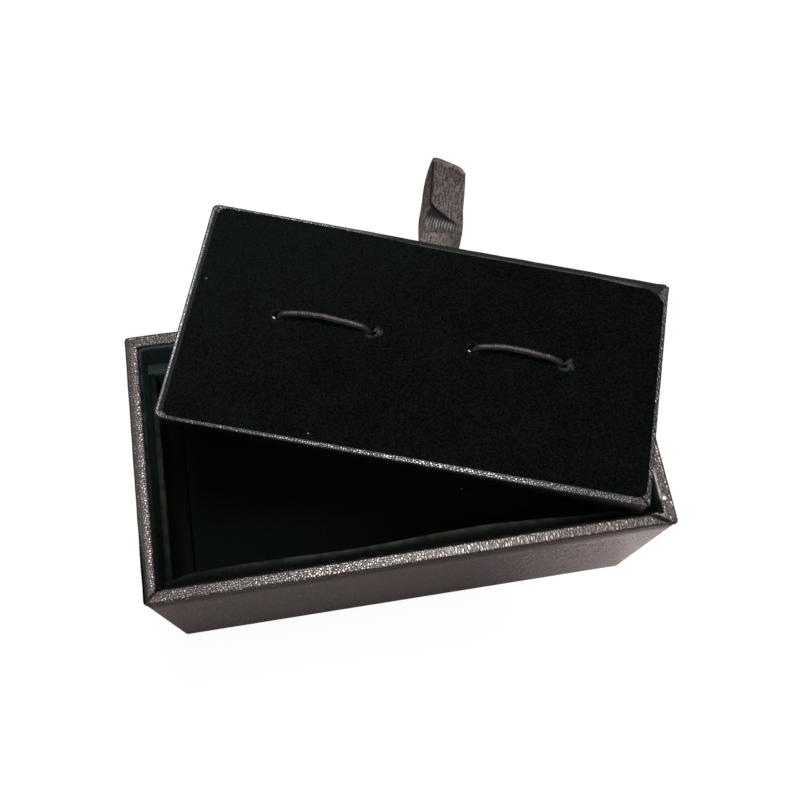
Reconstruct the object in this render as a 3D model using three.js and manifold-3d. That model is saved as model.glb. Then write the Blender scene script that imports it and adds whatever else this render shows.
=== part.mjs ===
// Cufflink display box: an open, lined base and the lift-out insert that lies turned across its rim.
// Millimetres, +Z up, origin at the centre of the base's underside, +X along the base's long side.
import * as THREE from "three";
import { mergeVertices } from "three/addons/utils/BufferGeometryUtils.js";
import Module from "manifold-3d";

const wasm = await Module();
wasm.setup();

// Overall sizes of the base
const base_length = 85;
const base_width = 45;
const base_height = 38;

// Sheet materials
const wall_board = 1.5;
const leatherette = 0.25;
const bottom_paper = 0.3;
const lining = 0.3;
const velvet = 0.35;

// Leatherette skin of the base
const outer_corner_radius = 0.8;
const rim_turn_in = 5;
const foot_turn_under = 8;
const bottom_paper_margin = 1.5;

// Lining of the upper wall
const lining_below_rim = 0.5;
const lining_behind_liner = 3;

// Velvet-covered liner cards, whose tops are the ledge that carries the insert
const seat_depth = 6.7;
const long_liner_card = 1.5;
const short_liner_card = 0.5;
const velvet_flap = 4;
const front_liner_bow = 0.7;
const liner_end_gap = 0.3;

// Floor pad
const floor_card = 1;
const floor_pad_clearance = 0.3;

// Lift-out insert
const insert_clearance = 0.3;
const insert_upper_ply = 1.5;
const insert_lower_ply = 1.5;
const insert_turn_in = 5;
const insert_corner_radius = 0.8;
const backing_sheet = 0.4;
const backing_margin = 1.2;
const velvet_face = 0.4;
const velvet_border = 1.1;
const velvet_corner_radius = 3;
const glue_line = 0.05;

// Where the insert lies on the rim
const rest_gap = 0.3;
const rest_turn_degrees = -19.4;
const rest_shift_x = 6.05;
const rest_shift_y = 11.75;

// Elastic loops
const elastic_diameter = 1.1;
const loop_spacing = 32.4;
const loop_span = 16.2;
const loop_line_offset = 1.1;
const face_hole_diameter = 1.7;
const elastic_bend = 1;
const elastic_arch = 0.5;
const knot_diameter = 2.6;
const knot_height = 1.2;
const knot_pocket_diameter = 3.6;

// Ribbon pull tab
const ribbon_width = 7;
const ribbon_doubled = 0.6;
const ribbon_side_room = 0.3;
const ribbon_tail_length = 12;
const ribbon_stands_out = 0.3;
const tab_length = 15;
const tab_fold_radius = 0.9;
const tab_lean_degrees = 55;
const tab_root_gap = 0.3;

// Fineness of the faceted curves, and how far a cut runs past what it cuts
const corner_steps = 5;
const bow_steps = 12;
const round_steps = 24;
const cord_sides = 8;
const cord_steps = 40;
const overrun = 1;

// Heights and insets that several pieces share
const wall_stack = leatherette + wall_board + leatherette;
const lined_wall = wall_stack + lining;
const floor_board_bottom = bottom_paper + leatherette;
const floor_board_top = floor_board_bottom + wall_board;
const wall_top = base_height - leatherette;
const ledge_height = base_height - seat_depth;
const board_corner_radius = outer_corner_radius - leatherette;

const colours = {
  leatherette: new THREE.MeshStandardMaterial({ color: 0x1b1918, roughness: 0.5, metalness: 0 }),
  velvet: new THREE.MeshStandardMaterial({ color: 0x060807, roughness: 1, metalness: 0 }),
  board: new THREE.MeshStandardMaterial({ color: 0x8a8378, roughness: 0.9, metalness: 0 }),
  paper: new THREE.MeshStandardMaterial({ color: 0x141414, roughness: 0.85, metalness: 0 }),
  elastic: new THREE.MeshStandardMaterial({ color: 0x0f0d0e, roughness: 0.7, metalness: 0 }),
  ribbon: new THREE.MeshStandardMaterial({ color: 0x2a2427, roughness: 0.55, metalness: 0 }),
};

// Closed shapes and solids

function box_outline(low_x, low_y, high_x, high_y, kind = THREE.Shape) {
  const outline = new kind();
  outline.moveTo(low_x, low_y);
  outline.lineTo(high_x, low_y);
  outline.lineTo(high_x, high_y);
  outline.lineTo(low_x, high_y);
  outline.closePath();
  return outline;
}

function rounded_outline(length, width, radius) {
  const x = length / 2 - radius;
  const y = width / 2 - radius;
  const quarter = Math.PI / 2;
  const outline = new THREE.Shape();
  outline.absarc(x, -y, radius, -quarter, 0);
  outline.absarc(x, y, radius, 0, quarter);
  outline.absarc(-x, y, radius, quarter, 2 * quarter);
  outline.absarc(-x, -y, radius, 2 * quarter, 3 * quarter);
  outline.closePath();
  return outline;
}

function plate(outline, bottom, top) {
  const options = { depth: top - bottom, bevelEnabled: false, curveSegments: corner_steps };
  return new THREE.ExtrudeGeometry(outline, options).translate(0, 0, bottom);
}

function block(length, width, bottom, top) {
  return plate(box_outline(-length / 2, -width / 2, length / 2, width / 2), bottom, top);
}

function rounded_block(length, width, radius, bottom, top) {
  return plate(rounded_outline(length, width, radius), bottom, top);
}

function upright_pin(diameter, x, y, bottom, top) {
  const pin = new THREE.CylinderGeometry(diameter / 2, diameter / 2, top - bottom, round_steps);
  return pin.rotateX(Math.PI / 2).translate(x, y, (bottom + top) / 2);
}

function solid_of(geometry) {
  const bare = geometry.clone();
  bare.deleteAttribute("normal");
  bare.deleteAttribute("uv");
  const merged = mergeVertices(bare);
  const mesh = new wasm.Mesh({
    numProp: 3,
    vertProperties: new Float32Array(merged.attributes.position.array),
    triVerts: new Uint32Array(merged.index.array),
  });
  mesh.merge();
  return new wasm.Manifold(mesh);
}

function geometry_of(solid) {
  const mesh = solid.getMesh();
  const geometry = new THREE.BufferGeometry();
  geometry.setAttribute("position", new THREE.BufferAttribute(mesh.vertProperties, 3));
  geometry.setIndex(new THREE.BufferAttribute(mesh.triVerts, 1));
  const facets = geometry.toNonIndexed();
  facets.computeVertexNormals();
  return facets;
}

function cut(geometry, ...tools) {
  let solid = solid_of(geometry);
  for (const tool of tools) solid = solid.subtract(solid_of(tool));
  return geometry_of(solid);
}

function join(geometry, ...others) {
  let solid = solid_of(geometry);
  for (const other of others) solid = solid.add(solid_of(other));
  return geometry_of(solid);
}

function add_piece(group, name, geometry, material) {
  const mesh = new THREE.Mesh(geometry, material);
  mesh.name = name;
  group.add(mesh);
}

const box = new THREE.Group();

// Greyboard carcass: a floor and four walls
function build_carcass() {
  const board_length = base_length - 2 * leatherette;
  const board_width = base_width - 2 * leatherette;
  const envelope = (bottom, top) =>
    rounded_block(board_length, board_width, board_corner_radius, bottom, top);
  add_piece(box, "base_floor_board", envelope(floor_board_bottom, floor_board_top), colours.board);

  const inner_length = board_length - 2 * wall_board;
  const inner_width = board_width - 2 * wall_board;
  const across_core = block(base_length, inner_width, 0, base_height);
  for (const [name, side] of [["front", -1], ["back", 1]]) {
    const other_half = block(base_length, base_width, 0, base_height).translate(0, -side * base_width / 2, 0);
    const wall = cut(envelope(floor_board_top, wall_top), across_core, other_half);
    add_piece(box, `base_${name}_board`, wall, colours.board);
  }
  for (const [name, side] of [["left", -1], ["right", 1]]) {
    const wall = block(wall_board, inner_width, floor_board_top, wall_top);
    const centre = side * (inner_length + wall_board) / 2;
    add_piece(box, `base_${name}_board`, wall.translate(centre, 0, 0), colours.board);
  }
}

// Leatherette skin: up the outside, over the rim, down inside, and turned under the floor
function build_base_skin() {
  const outside = rounded_block(base_length, base_width, outer_corner_radius, bottom_paper, base_height);
  const boards = rounded_block(
    base_length - 2 * leatherette, base_width - 2 * leatherette, board_corner_radius,
    floor_board_bottom, wall_top,
  );
  const mouth_length = base_length - 2 * wall_stack;
  const mouth_width = base_width - 2 * wall_stack;
  const mouth = block(mouth_length, mouth_width, ledge_height, base_height + overrun);
  const foot_window = block(
    base_length - 2 * foot_turn_under, base_width - 2 * foot_turn_under,
    -overrun, floor_board_top,
  );
  const skirt_bottom = base_height - rim_turn_in;
  const skirt = cut(
    block(mouth_length + 2 * leatherette, mouth_width + 2 * leatherette, skirt_bottom, base_height),
    block(mouth_length, mouth_width, skirt_bottom - overrun, base_height + overrun),
  );
  const skin = join(cut(outside, boards, mouth, foot_window), skirt);
  add_piece(box, "base_leatherette_skin", skin, colours.leatherette);

  const paper = block(
    base_length - 2 * bottom_paper_margin, base_width - 2 * bottom_paper_margin, 0, bottom_paper,
  );
  add_piece(box, "base_bottom_paper", paper, colours.paper);
}

// Flocked lining of the wall above the ledge
function build_wall_lining() {
  const bottom = ledge_height - lining_behind_liner;
  const top = base_height - lining_below_rim;
  const ring = cut(
    block(base_length - 2 * wall_stack, base_width - 2 * wall_stack, bottom, top),
    block(base_length - 2 * lined_wall, base_width - 2 * lined_wall, bottom - overrun, top + overrun),
  );
  add_piece(box, "upper_wall_lining", ring, colours.velvet);
}

// A place on the floor plan, from how far along a wall it is and how far in from its outer face
const wall_places = {
  front: (along, inward) => new THREE.Vector2(along, inward - base_width / 2),
  back: (along, inward) => new THREE.Vector2(along, base_width / 2 - inward),
  left: (along, inward) => new THREE.Vector2(inward - base_length / 2, along),
  right: (along, inward) => new THREE.Vector2(base_length / 2 - inward, along),
};

// A strip that stands along a wall, from one depth to another, and may bow into the box
function wall_strip(wall, half_length, near, far, bow, bottom, top) {
  const place = wall_places[wall];
  const steps = bow ? bow_steps : 1;
  const edge = (inward) => {
    const points = [];
    for (let i = 0; i <= steps; i++) {
      const share = 2 * i / steps - 1;
      points.push(place(share * half_length, inward + bow * Math.cos(share * Math.PI / 2)));
    }
    return points;
  };
  const outline = new THREE.Shape([...edge(near), ...edge(far).reverse()]);
  return plate(outline, bottom, top);
}

// Each liner is a card with velvet over its face and top and a short flap down its back
function build_liner(wall, half_length, card, bow) {
  const back = lined_wall;
  const card_near = back + velvet;
  const card_far = card_near + card;
  const face = card_far + velvet;
  const strip = (near, far, bottom, top) => wall_strip(wall, half_length, near, far, bow, bottom, top);
  const card_top = ledge_height - velvet;
  add_piece(box, `liner_card_${wall}`, strip(card_near, card_far, floor_board_top, card_top), colours.board);

  const cover = join(
    strip(card_far, face, floor_board_top, ledge_height),
    strip(back, face, card_top, ledge_height),
    strip(back, card_near, ledge_height - velvet_flap, ledge_height),
  );
  add_piece(box, `liner_velvet_${wall}`, cover, colours.velvet);
}

const long_liner_face = lined_wall + 2 * velvet + long_liner_card;
const short_liner_face = lined_wall + 2 * velvet + short_liner_card;

function build_liners() {
  const long_half = base_length / 2 - lined_wall;
  const short_half = base_width / 2 - long_liner_face - liner_end_gap;
  build_liner("front", long_half, long_liner_card, front_liner_bow);
  build_liner("back", long_half, long_liner_card, 0);
  build_liner("left", short_half, short_liner_card, 0);
  build_liner("right", short_half, short_liner_card, 0);
}

// Floor pad: a card with velvet over its top and edges, dropped in between the liners
function build_floor_pad() {
  const half_length = base_length / 2 - short_liner_face - floor_pad_clearance;
  const back_edge = base_width / 2 - long_liner_face - floor_pad_clearance;
  const front_edge = -back_edge + front_liner_bow;
  const outline = (inset) =>
    box_outline(-half_length + inset, front_edge + inset, half_length - inset, back_edge - inset);
  const card_top = floor_board_top + floor_card;
  const card = plate(outline(velvet), floor_board_top, card_top);
  add_piece(box, "floor_card", card, colours.board);
  const cover = cut(
    plate(outline(0), floor_board_top, card_top + velvet),
    plate(outline(velvet), floor_board_top - overrun, card_top),
  );
  add_piece(box, "floor_velvet", cover, colours.velvet);
}

// Insert: sizes from the mouth that it drops into, and heights above its own underside
const insert_length = base_length - 2 * lined_wall - 2 * insert_clearance;
const insert_width = base_width - 2 * lined_wall - 2 * insert_clearance;
const lower_ply_bottom = backing_sheet + leatherette;
const ply_seam = lower_ply_bottom + insert_lower_ply;
const upper_ply_top = ply_seam + insert_upper_ply;
const border_top = upper_ply_top + leatherette;
const face_top = border_top + velvet_face;
const ribbon_bed = ply_seam - ribbon_doubled - glue_line;
const ribbon_room_width = ribbon_width + 2 * ribbon_side_room;

const insert = new THREE.Group();
insert.rotation.z = THREE.MathUtils.degToRad(rest_turn_degrees);
insert.position.set(rest_shift_x, rest_shift_y, base_height + rest_gap);
box.add(insert);

// The four holes that the elastic loops pass through, as pairs
const loop_holes = [-1, 1].map((side) => {
  const middle = side * loop_spacing / 2;
  return [middle - loop_span / 2, middle + loop_span / 2];
});

function holes(diameter, bottom, top) {
  return loop_holes.flat().map((x) => upright_pin(diameter, x, loop_line_offset, bottom, top));
}

function build_insert_plies() {
  const ply = (bottom, top) => rounded_block(
    insert_length - 2 * leatherette - 2 * glue_line, insert_width - 2 * leatherette - 2 * glue_line,
    insert_corner_radius - leatherette, bottom, top,
  );
  const upper = cut(
    ply(ply_seam, upper_ply_top),
    ...holes(face_hole_diameter, ply_seam - overrun, upper_ply_top + overrun),
  );
  add_piece(insert, "insert_upper_ply", upper, colours.board);

  const ribbon_recess = block(ribbon_room_width, ribbon_tail_length, ribbon_bed, ply_seam + overrun)
    .translate(0, (insert_width - ribbon_tail_length) / 2, 0);
  const lower = cut(
    ply(lower_ply_bottom, ply_seam),
    ...holes(knot_pocket_diameter, lower_ply_bottom - overrun, ply_seam + overrun),
    ribbon_recess,
  );
  add_piece(insert, "insert_lower_ply", lower, colours.board);
}

// Leatherette round the edge of the two plies, turned in over and under them, slit for the ribbon
function build_insert_skin() {
  const outside = rounded_block(
    insert_length, insert_width, insert_corner_radius, backing_sheet, border_top,
  );
  const plies = rounded_block(
    insert_length - 2 * leatherette, insert_width - 2 * leatherette,
    insert_corner_radius - leatherette, lower_ply_bottom, upper_ply_top,
  );
  const window = block(
    insert_length - 2 * insert_turn_in, insert_width - 2 * insert_turn_in, -overrun, border_top + overrun,
  );
  const slit = block(ribbon_room_width, insert_turn_in, ribbon_bed, ply_seam)
    .translate(0, insert_width / 2, 0);
  add_piece(insert, "insert_leatherette_skin", cut(outside, plies, window, slit), colours.leatherette);

  const backing = block(
    insert_length - 2 * backing_margin, insert_width - 2 * backing_margin, 0, backing_sheet,
  );
  add_piece(insert, "insert_backing_sheet", backing, colours.paper);
}

function build_insert_face() {
  const sheet = rounded_block(
    insert_length - 2 * velvet_border, insert_width - 2 * velvet_border, velvet_corner_radius,
    border_top, face_top,
  );
  const face = cut(sheet, ...holes(face_hole_diameter, border_top - overrun, face_top + overrun));
  add_piece(insert, "insert_velvet_face", face, colours.velvet);
}

// Elastic loop: out of one hole, over the velvet in a low arch and down the other, knotted below
function build_elastic_loop(name, left_x, right_x) {
  const point = (x, z) => new THREE.Vector3(x, loop_line_offset, z);
  const knot_middle = (lower_ply_bottom + ply_seam) / 2;
  const bend_start = face_top - elastic_diameter / 4;
  const arch_foot = bend_start + elastic_bend;
  const path = new THREE.CurvePath();
  const corner = (x, toward) => [
    point(x, bend_start),
    point(x, arch_foot),
    point(x + toward * elastic_bend, arch_foot),
  ];
  const left = corner(left_x, 1);
  const right = corner(right_x, -1);
  path.add(new THREE.LineCurve3(point(left_x, knot_middle), left[0]));
  path.add(new THREE.QuadraticBezierCurve3(...left));
  path.add(new THREE.QuadraticBezierCurve3(
    left[2], point((left_x + right_x) / 2, arch_foot + 2 * elastic_arch), right[2],
  ));
  path.add(new THREE.QuadraticBezierCurve3(right[2], right[1], right[0]));
  path.add(new THREE.LineCurve3(right[0], point(right_x, knot_middle)));

  const section = new THREE.Shape();
  for (let i = 0; i < cord_sides; i++) {
    const angle = 2 * Math.PI * i / cord_sides;
    const x = Math.cos(angle) * elastic_diameter / 2;
    const y = Math.sin(angle) * elastic_diameter / 2;
    if (i) section.lineTo(x, y);
    else section.moveTo(x, y);
  }
  section.closePath();
  const cord = new THREE.ExtrudeGeometry(section, { steps: cord_steps, extrudePath: path });
  const knot = (x) => {
    const ball = new THREE.SphereGeometry(knot_diameter / 2, cord_sides * 2, cord_sides);
    return ball.rotateX(Math.PI / 2).scale(1, 1, knot_height / knot_diameter)
      .translate(x, loop_line_offset, knot_middle);
  };
  add_piece(insert, name, join(cord, knot(left_x), knot(right_x)), colours.elastic);
}

// Ribbon: its doubled tail is glued between the plies, and the free loop stands behind the edge
function build_pull_tab() {
  const tail_end = insert_width / 2 + ribbon_stands_out;
  const tail_start = insert_width / 2 - ribbon_tail_length + ribbon_side_room;
  const tail = plate(
    box_outline(-ribbon_width / 2, tail_start, ribbon_width / 2, tail_end),
    ribbon_bed, ribbon_bed + ribbon_doubled,
  );
  add_piece(insert, "pull_tab_ribbon_tail", tail, colours.ribbon);

  const root_radius = ribbon_doubled / 2;
  const fold_centre = tab_length - tab_fold_radius;
  const quarter = Math.PI / 2;
  const outline = new THREE.Shape();
  outline.absarc(0, 0, root_radius, quarter, 3 * quarter);
  outline.absarc(fold_centre, 0, tab_fold_radius, -quarter, quarter);
  outline.closePath();
  const options = { depth: ribbon_width, bevelEnabled: false, curveSegments: 2 * corner_steps };
  const loop = new THREE.ExtrudeGeometry(outline, options).translate(0, 0, -ribbon_width / 2);
  const lean = THREE.MathUtils.degToRad(tab_lean_degrees);
  const along = new THREE.Vector3(0, Math.cos(lean), Math.sin(lean));
  const across = new THREE.Vector3(0, -Math.sin(lean), Math.cos(lean));
  loop.applyMatrix4(new THREE.Matrix4().makeBasis(along, across, new THREE.Vector3(1, 0, 0)));
  loop.translate(0, tail_end + tab_root_gap + root_radius, ribbon_bed + root_radius);
  add_piece(insert, "pull_tab_ribbon_loop", loop, colours.ribbon);
}

build_carcass();
build_base_skin();
build_wall_lining();
build_liners();
build_floor_pad();
build_insert_plies();
build_insert_skin();
build_insert_face();
build_elastic_loop("elastic_loop_left", ...loop_holes[0]);
build_elastic_loop("elastic_loop_right", ...loop_holes[1]);
build_pull_tab();

export default box;
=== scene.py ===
"""Looks of an open cufflink display box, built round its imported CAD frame."""
import math
import random

import bmesh
import bpy
from mathutils import Matrix, Vector, noise
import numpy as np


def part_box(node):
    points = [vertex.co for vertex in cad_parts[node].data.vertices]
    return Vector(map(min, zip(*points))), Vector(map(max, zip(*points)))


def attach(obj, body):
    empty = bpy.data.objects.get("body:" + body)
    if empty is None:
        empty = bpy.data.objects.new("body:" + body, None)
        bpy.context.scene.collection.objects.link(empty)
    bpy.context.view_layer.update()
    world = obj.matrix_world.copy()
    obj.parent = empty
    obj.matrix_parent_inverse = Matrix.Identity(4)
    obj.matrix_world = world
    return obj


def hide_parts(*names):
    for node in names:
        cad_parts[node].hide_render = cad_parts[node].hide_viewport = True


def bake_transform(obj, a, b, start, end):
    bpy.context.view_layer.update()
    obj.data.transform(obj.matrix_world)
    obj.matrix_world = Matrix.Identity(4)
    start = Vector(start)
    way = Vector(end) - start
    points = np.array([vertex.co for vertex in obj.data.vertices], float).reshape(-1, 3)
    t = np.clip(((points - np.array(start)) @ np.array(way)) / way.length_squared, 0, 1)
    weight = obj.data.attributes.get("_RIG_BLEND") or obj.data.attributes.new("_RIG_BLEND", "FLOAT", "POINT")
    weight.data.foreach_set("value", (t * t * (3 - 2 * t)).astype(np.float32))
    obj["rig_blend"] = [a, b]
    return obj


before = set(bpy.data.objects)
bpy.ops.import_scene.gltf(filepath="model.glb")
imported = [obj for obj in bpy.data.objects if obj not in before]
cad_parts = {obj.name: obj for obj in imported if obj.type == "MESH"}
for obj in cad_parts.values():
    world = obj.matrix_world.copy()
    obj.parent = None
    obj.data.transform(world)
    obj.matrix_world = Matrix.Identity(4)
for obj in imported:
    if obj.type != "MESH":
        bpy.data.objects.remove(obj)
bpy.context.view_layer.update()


# Camera: it stands close over the box, near its front left, and looks steeply down.
# The place and lens are the ones that put the base's corners where the photograph has them.
camera_right = Vector((0.985847, -0.162126, 0.042662))
camera_down = Vector((-0.137478, -0.927464, -0.347722))
camera_forward = Vector((0.095943, 0.336936, -0.936627))
camera_place = Vector((-0.013663, -0.048682, 0.186494))
camera_data = bpy.data.cameras.new("camera")
camera_data.sensor_width = 36
camera_data.lens = 42.922
camera_data.clip_start = 0.01
camera = bpy.data.objects.new("camera", camera_data)
camera_axes = Matrix((camera_right, -camera_down, -camera_forward)).transposed().to_4x4()
camera.matrix_world = Matrix.Translation(camera_place) @ camera_axes
bpy.context.scene.collection.objects.link(camera)
bpy.context.scene.camera = camera
bpy.context.scene.view_settings.view_transform = "Standard"


# Studio: a broad soft lamp overhead, a weaker one from the left, a narrow one that brightens the
# foot of the front right corner, and a weak fill without reflections. The room is dim grey to the
# box and white to the camera, and the table is white with a light shadow of the box.
class Shade:
    """One socket of a node tree, so that sums on sockets read as sums and add their Math nodes."""

    def __init__(self, tree, socket=None):
        self.tree = tree
        self.socket = socket

    def node(self, kind, settings=None, values=None, output=0):
        """Adds a node, sets it and links it, and gives one of its outputs, by number or name."""
        made = self.tree.nodes.new(kind)
        for key, value in (settings or {}).items():
            setattr(made, key, value)
        for key, value in (values or {}).items():
            if isinstance(value, Shade):
                self.tree.links.new(value.socket, made.inputs[key])
            else:
                made.inputs[key].default_value = value
        return Shade(self.tree, made.outputs[output] if made.outputs else None)

    def math(self, operation, first, second=0.0):
        return self.node("ShaderNodeMath", {"operation": operation}, {0: first, 1: second})

    def __add__(self, other):
        return self.math("ADD", self, other)

    def __radd__(self, other):
        return self.math("ADD", other, self)

    def __sub__(self, other):
        return self.math("SUBTRACT", self, other)

    def __rsub__(self, other):
        return self.math("SUBTRACT", other, self)

    def __mul__(self, other):
        return self.math("MULTIPLY", self, other)

    def __rmul__(self, other):
        return self.math("MULTIPLY", other, self)

    def ramp(self, low, high):
        """0 below low, 1 above high, and smooth between them. Low may be the larger."""
        return self.node(
            "ShaderNodeMapRange", {"interpolation_type": "SMOOTHSTEP"},
            {"Value": self, "From Min": low, "From Max": high},
        )

    def mix(self, first, second):
        """The first colour where this is 0, the second where it is 1."""
        return self.node(
            "ShaderNodeMix", {"data_type": "RGBA"}, {0: self, 6: first, 7: second}, output=2,
        )


def new_tree(owner):
    owner.use_nodes = True
    owner.node_tree.nodes.clear()
    return Shade(owner.node_tree)


def new_material(name):
    material = bpy.data.materials.new(name)
    return material, new_tree(material)


table_size = 2.4
table_colour = (0.29, 0.245, 0.243, 1)
table_glow_strength = 1.185
table_glow_share = 0.8
room_light = 0.16
room_seen_by_camera = 0.962
white = (1, 1, 1, 1)
table_mesh = bpy.data.meshes.new("table")
table_form = bmesh.new()
bmesh.ops.create_grid(table_form, x_segments=1, y_segments=1, size=table_size / 2)
table_form.to_mesh(table_mesh)
table_form.free()
table = bpy.data.objects.new("table", table_mesh)
bpy.context.scene.collection.objects.link(table)

table_material, tree = new_material("table_white")
table_paint = tree.node("ShaderNodeBsdfDiffuse", values={"Color": table_colour})
table_glow = tree.node("ShaderNodeEmission", values={"Color": white, "Strength": table_glow_strength})
camera_ray = tree.node("ShaderNodeLightPath", output="Is Camera Ray")
glow_share = camera_ray * table_glow_share
table_look = tree.node("ShaderNodeMixShader", values={0: glow_share, 1: table_paint, 2: table_glow})
tree.node("ShaderNodeOutputMaterial", values={"Surface": table_look})
table_mesh.materials.append(table_material)

room = bpy.data.worlds.new("room")
bpy.context.scene.world = room
tree = new_tree(room)
room_grey = tree.node("ShaderNodeBackground", values={"Color": white, "Strength": room_light})
room_white = tree.node("ShaderNodeBackground", values={"Color": white, "Strength": room_seen_by_camera})
camera_ray = tree.node("ShaderNodeLightPath", output="Is Camera Ray")
room_look = tree.node("ShaderNodeMixShader", values={0: camera_ray, 1: room_grey, 2: room_white})
tree.node("ShaderNodeOutputWorld", values={"Surface": room_look})


def add_lamp(name, place, target, length, width, watts, glossy=True, spread=180):
    """An oblong lamp at a place that faces a target, and that the camera doesn't see."""
    lamp = bpy.data.lights.new(name, "AREA")
    lamp.shape = "RECTANGLE"
    lamp.size = length
    lamp.size_y = width
    lamp.energy = watts
    lamp.spread = math.radians(spread)
    holder = bpy.data.objects.new(name, lamp)
    back = (Vector(place) - Vector(target)).normalized()
    side = (Vector((1, 0, 0)) - back * back.x).normalized()
    axes = Matrix((side, back.cross(side), back)).transposed().to_4x4()
    holder.matrix_world = Matrix.Translation(place) @ axes
    holder.visible_glossy = glossy
    holder.visible_camera = False
    bpy.context.scene.collection.objects.link(holder)


add_lamp("overhead_lamp", (0.035, 0.12, 0.62), (0, 0, 0.04), 0.15, 0.3, 4.0)
add_lamp("left_lamp", (-0.55, 0.15, 0.16), (0, 0, 0.04), 0.12, 0.25, 0.3)
add_lamp("foot_lamp", (0.15, -0.10, 0.10), (0.066, -0.034, 0), 0.02, 0.02, 0.045, glossy=False, spread=22)
add_lamp("fill_lamp", (-0.02, -0.07, 0.235), (0, 0, 0.03), 0.05, 0.05, 0.2, glossy=False)


# Greyboard walls: four boards of grey pulp with flecks, glued edge to edge on the floor board.
# The wrap, pulled tight over them, crushes their top edges round and a little lower. The cards
# under the velvet and the insert's two boards are cut from the same greyboard.
mm = 0.001


def coordinates(tree):
    return tree.node("ShaderNodeTexCoord", output="Object")


def noise_at(tree, where, cells_per_mm, detail=2.0, roughness=0.5):
    return tree.node(
        "ShaderNodeTexNoise", values={
            "Vector": where, "Scale": cells_per_mm / mm, "Detail": detail, "Roughness": roughness,
        },
    )


def cells_at(tree, where, cells_per_mm, feature="SMOOTH_F1", output=0):
    return tree.node(
        "ShaderNodeTexVoronoi", {"feature": feature}, {"Vector": where, "Scale": cells_per_mm / mm}, output,
    )


def finish_material(tree, colour, roughness, height, height_mm, strength=1.0, **constants):
    """The shader of one finish, with its height as bump and the rest of its sockets by name."""
    values = {"Base Color": colour, "Roughness": roughness}
    values.update({key.replace("_", " "): value for key, value in constants.items()})
    values["Normal"] = tree.node(
        "ShaderNodeBump", values={"Height": height, "Distance": height_mm * mm, "Strength": strength},
    )
    surface = tree.node("ShaderNodeBsdfPrincipled", values=values)
    tree.node("ShaderNodeOutputMaterial", values={"Surface": surface})


def greyboard():
    material, tree = new_material("greyboard")
    where = coordinates(tree)
    pulp = noise_at(tree, where, 1.2, 6, 0.7)
    flecks = noise_at(tree, where, 4, 1).ramp(0.62, 0.72)
    plain = pulp.ramp(0.3, 0.7).mix((0.30, 0.27, 0.23, 1), (0.42, 0.39, 0.34, 1))
    colour = flecks.mix(plain, (0.16, 0.14, 0.12, 1))
    finish_material(tree, colour, 0.9, pulp, 0.08)
    return material


sharp_angle = 48


def add_piece(name, form, body, material, nodes=(), place=None):
    """Turns a form in millimetres into a finished piece, set in its place in metres."""
    if place is not None:
        form.transform(place)
    form.transform(Matrix.Scale(mm, 4))
    mesh = bpy.data.meshes.new(name)
    form.to_mesh(mesh)
    form.free()
    mesh.materials.append(material)
    mesh.shade_smooth()
    mesh.set_sharp_from_angle(angle=math.radians(sharp_angle))
    piece = bpy.data.objects.new(name, mesh)
    bpy.context.scene.collection.objects.link(piece)
    if body is not None:
        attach(piece, body)
    if nodes:
        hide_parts(*nodes)
    return piece


def block(low, high):
    """A form of one block between two corners."""
    form = bmesh.new()
    low = Vector(low)
    high = Vector(high)
    size = Matrix.Diagonal((*(high - low), 1))
    bmesh.ops.create_cube(form, size=1, matrix=Matrix.Translation((low + high) / 2) @ size)
    return form


def edges_where(form, test):
    return [e for e in form.edges if test((e.verts[0].co + e.verts[1].co) / 2, e)]


def faces_where(form, test):
    return [f for f in form.faces if test(f.calc_center_median(), f.normal)]


def edge_span(edge):
    """How far an edge reaches along X, Y and Z."""
    return edge.verts[0].co - edge.verts[1].co


def round_edges(form, edges, radius, segments):
    bmesh.ops.bevel(
        form, geom=edges, offset=radius, offset_type="OFFSET", affect="EDGES",
        segments=segments, profile=0.5, material=-1, clamp_overlap=True,
    )


def dress(nodes, material):
    """Gives a finish to solids that are shown as they are."""
    for node in nodes:
        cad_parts[node].data.materials.clear()
        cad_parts[node].data.materials.append(material)


walls = ("front", "back", "left", "right")
board_edge_radius = 0.65
board_corner_radius = 0.55
board_crush = 0.45
board_look = greyboard()
for wall in walls:
    low, high = (Vector(corner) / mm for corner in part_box(f"base_{wall}_board"))
    high.z -= board_crush
    form = block(low, high)
    top_edges = edges_where(form, lambda middle, e: middle.z > high.z - 0.01)
    along = 0 if wall in ("front", "back") else 1
    long_edges = [e for e in top_edges if abs(edge_span(e)[along]) > 2]
    round_edges(form, long_edges, board_edge_radius, 4)
    if along == 0:
        middle_y = (low.y + high.y) / 2
        upright = edges_where(
            form, lambda middle, e: abs(edge_span(e).z) > 20 and abs(middle.y) > abs(middle_y),
        )
        round_edges(form, upright, board_corner_radius, 4)
    add_piece(f"{wall}_wall_board", form, "base", board_look, [f"base_{wall}_board"])

dress(("base_floor_board", "floor_card", "insert_upper_ply", "insert_lower_ply"), board_look)
dress([f"liner_card_{wall}" for wall in walls], board_look)


# Papers: a thin black sheet closes the underside of the base, and another that of the insert.
# Both are plain uncoated stock, glued over the turned-in edges of the leatherette.
def black_paper():
    material, tree = new_material("black_paper")
    where = coordinates(tree)
    fibres = noise_at(tree, where, 2.5, 5, 0.65)
    colour = fibres.ramp(0.3, 0.75).mix((0.016, 0.016, 0.017, 1), (0.04, 0.04, 0.041, 1))
    finish_material(tree, colour, 0.85, fibres, 0.03, 0.6)
    return material


dress(("base_bottom_paper", "insert_backing_sheet"), black_paper())


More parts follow.
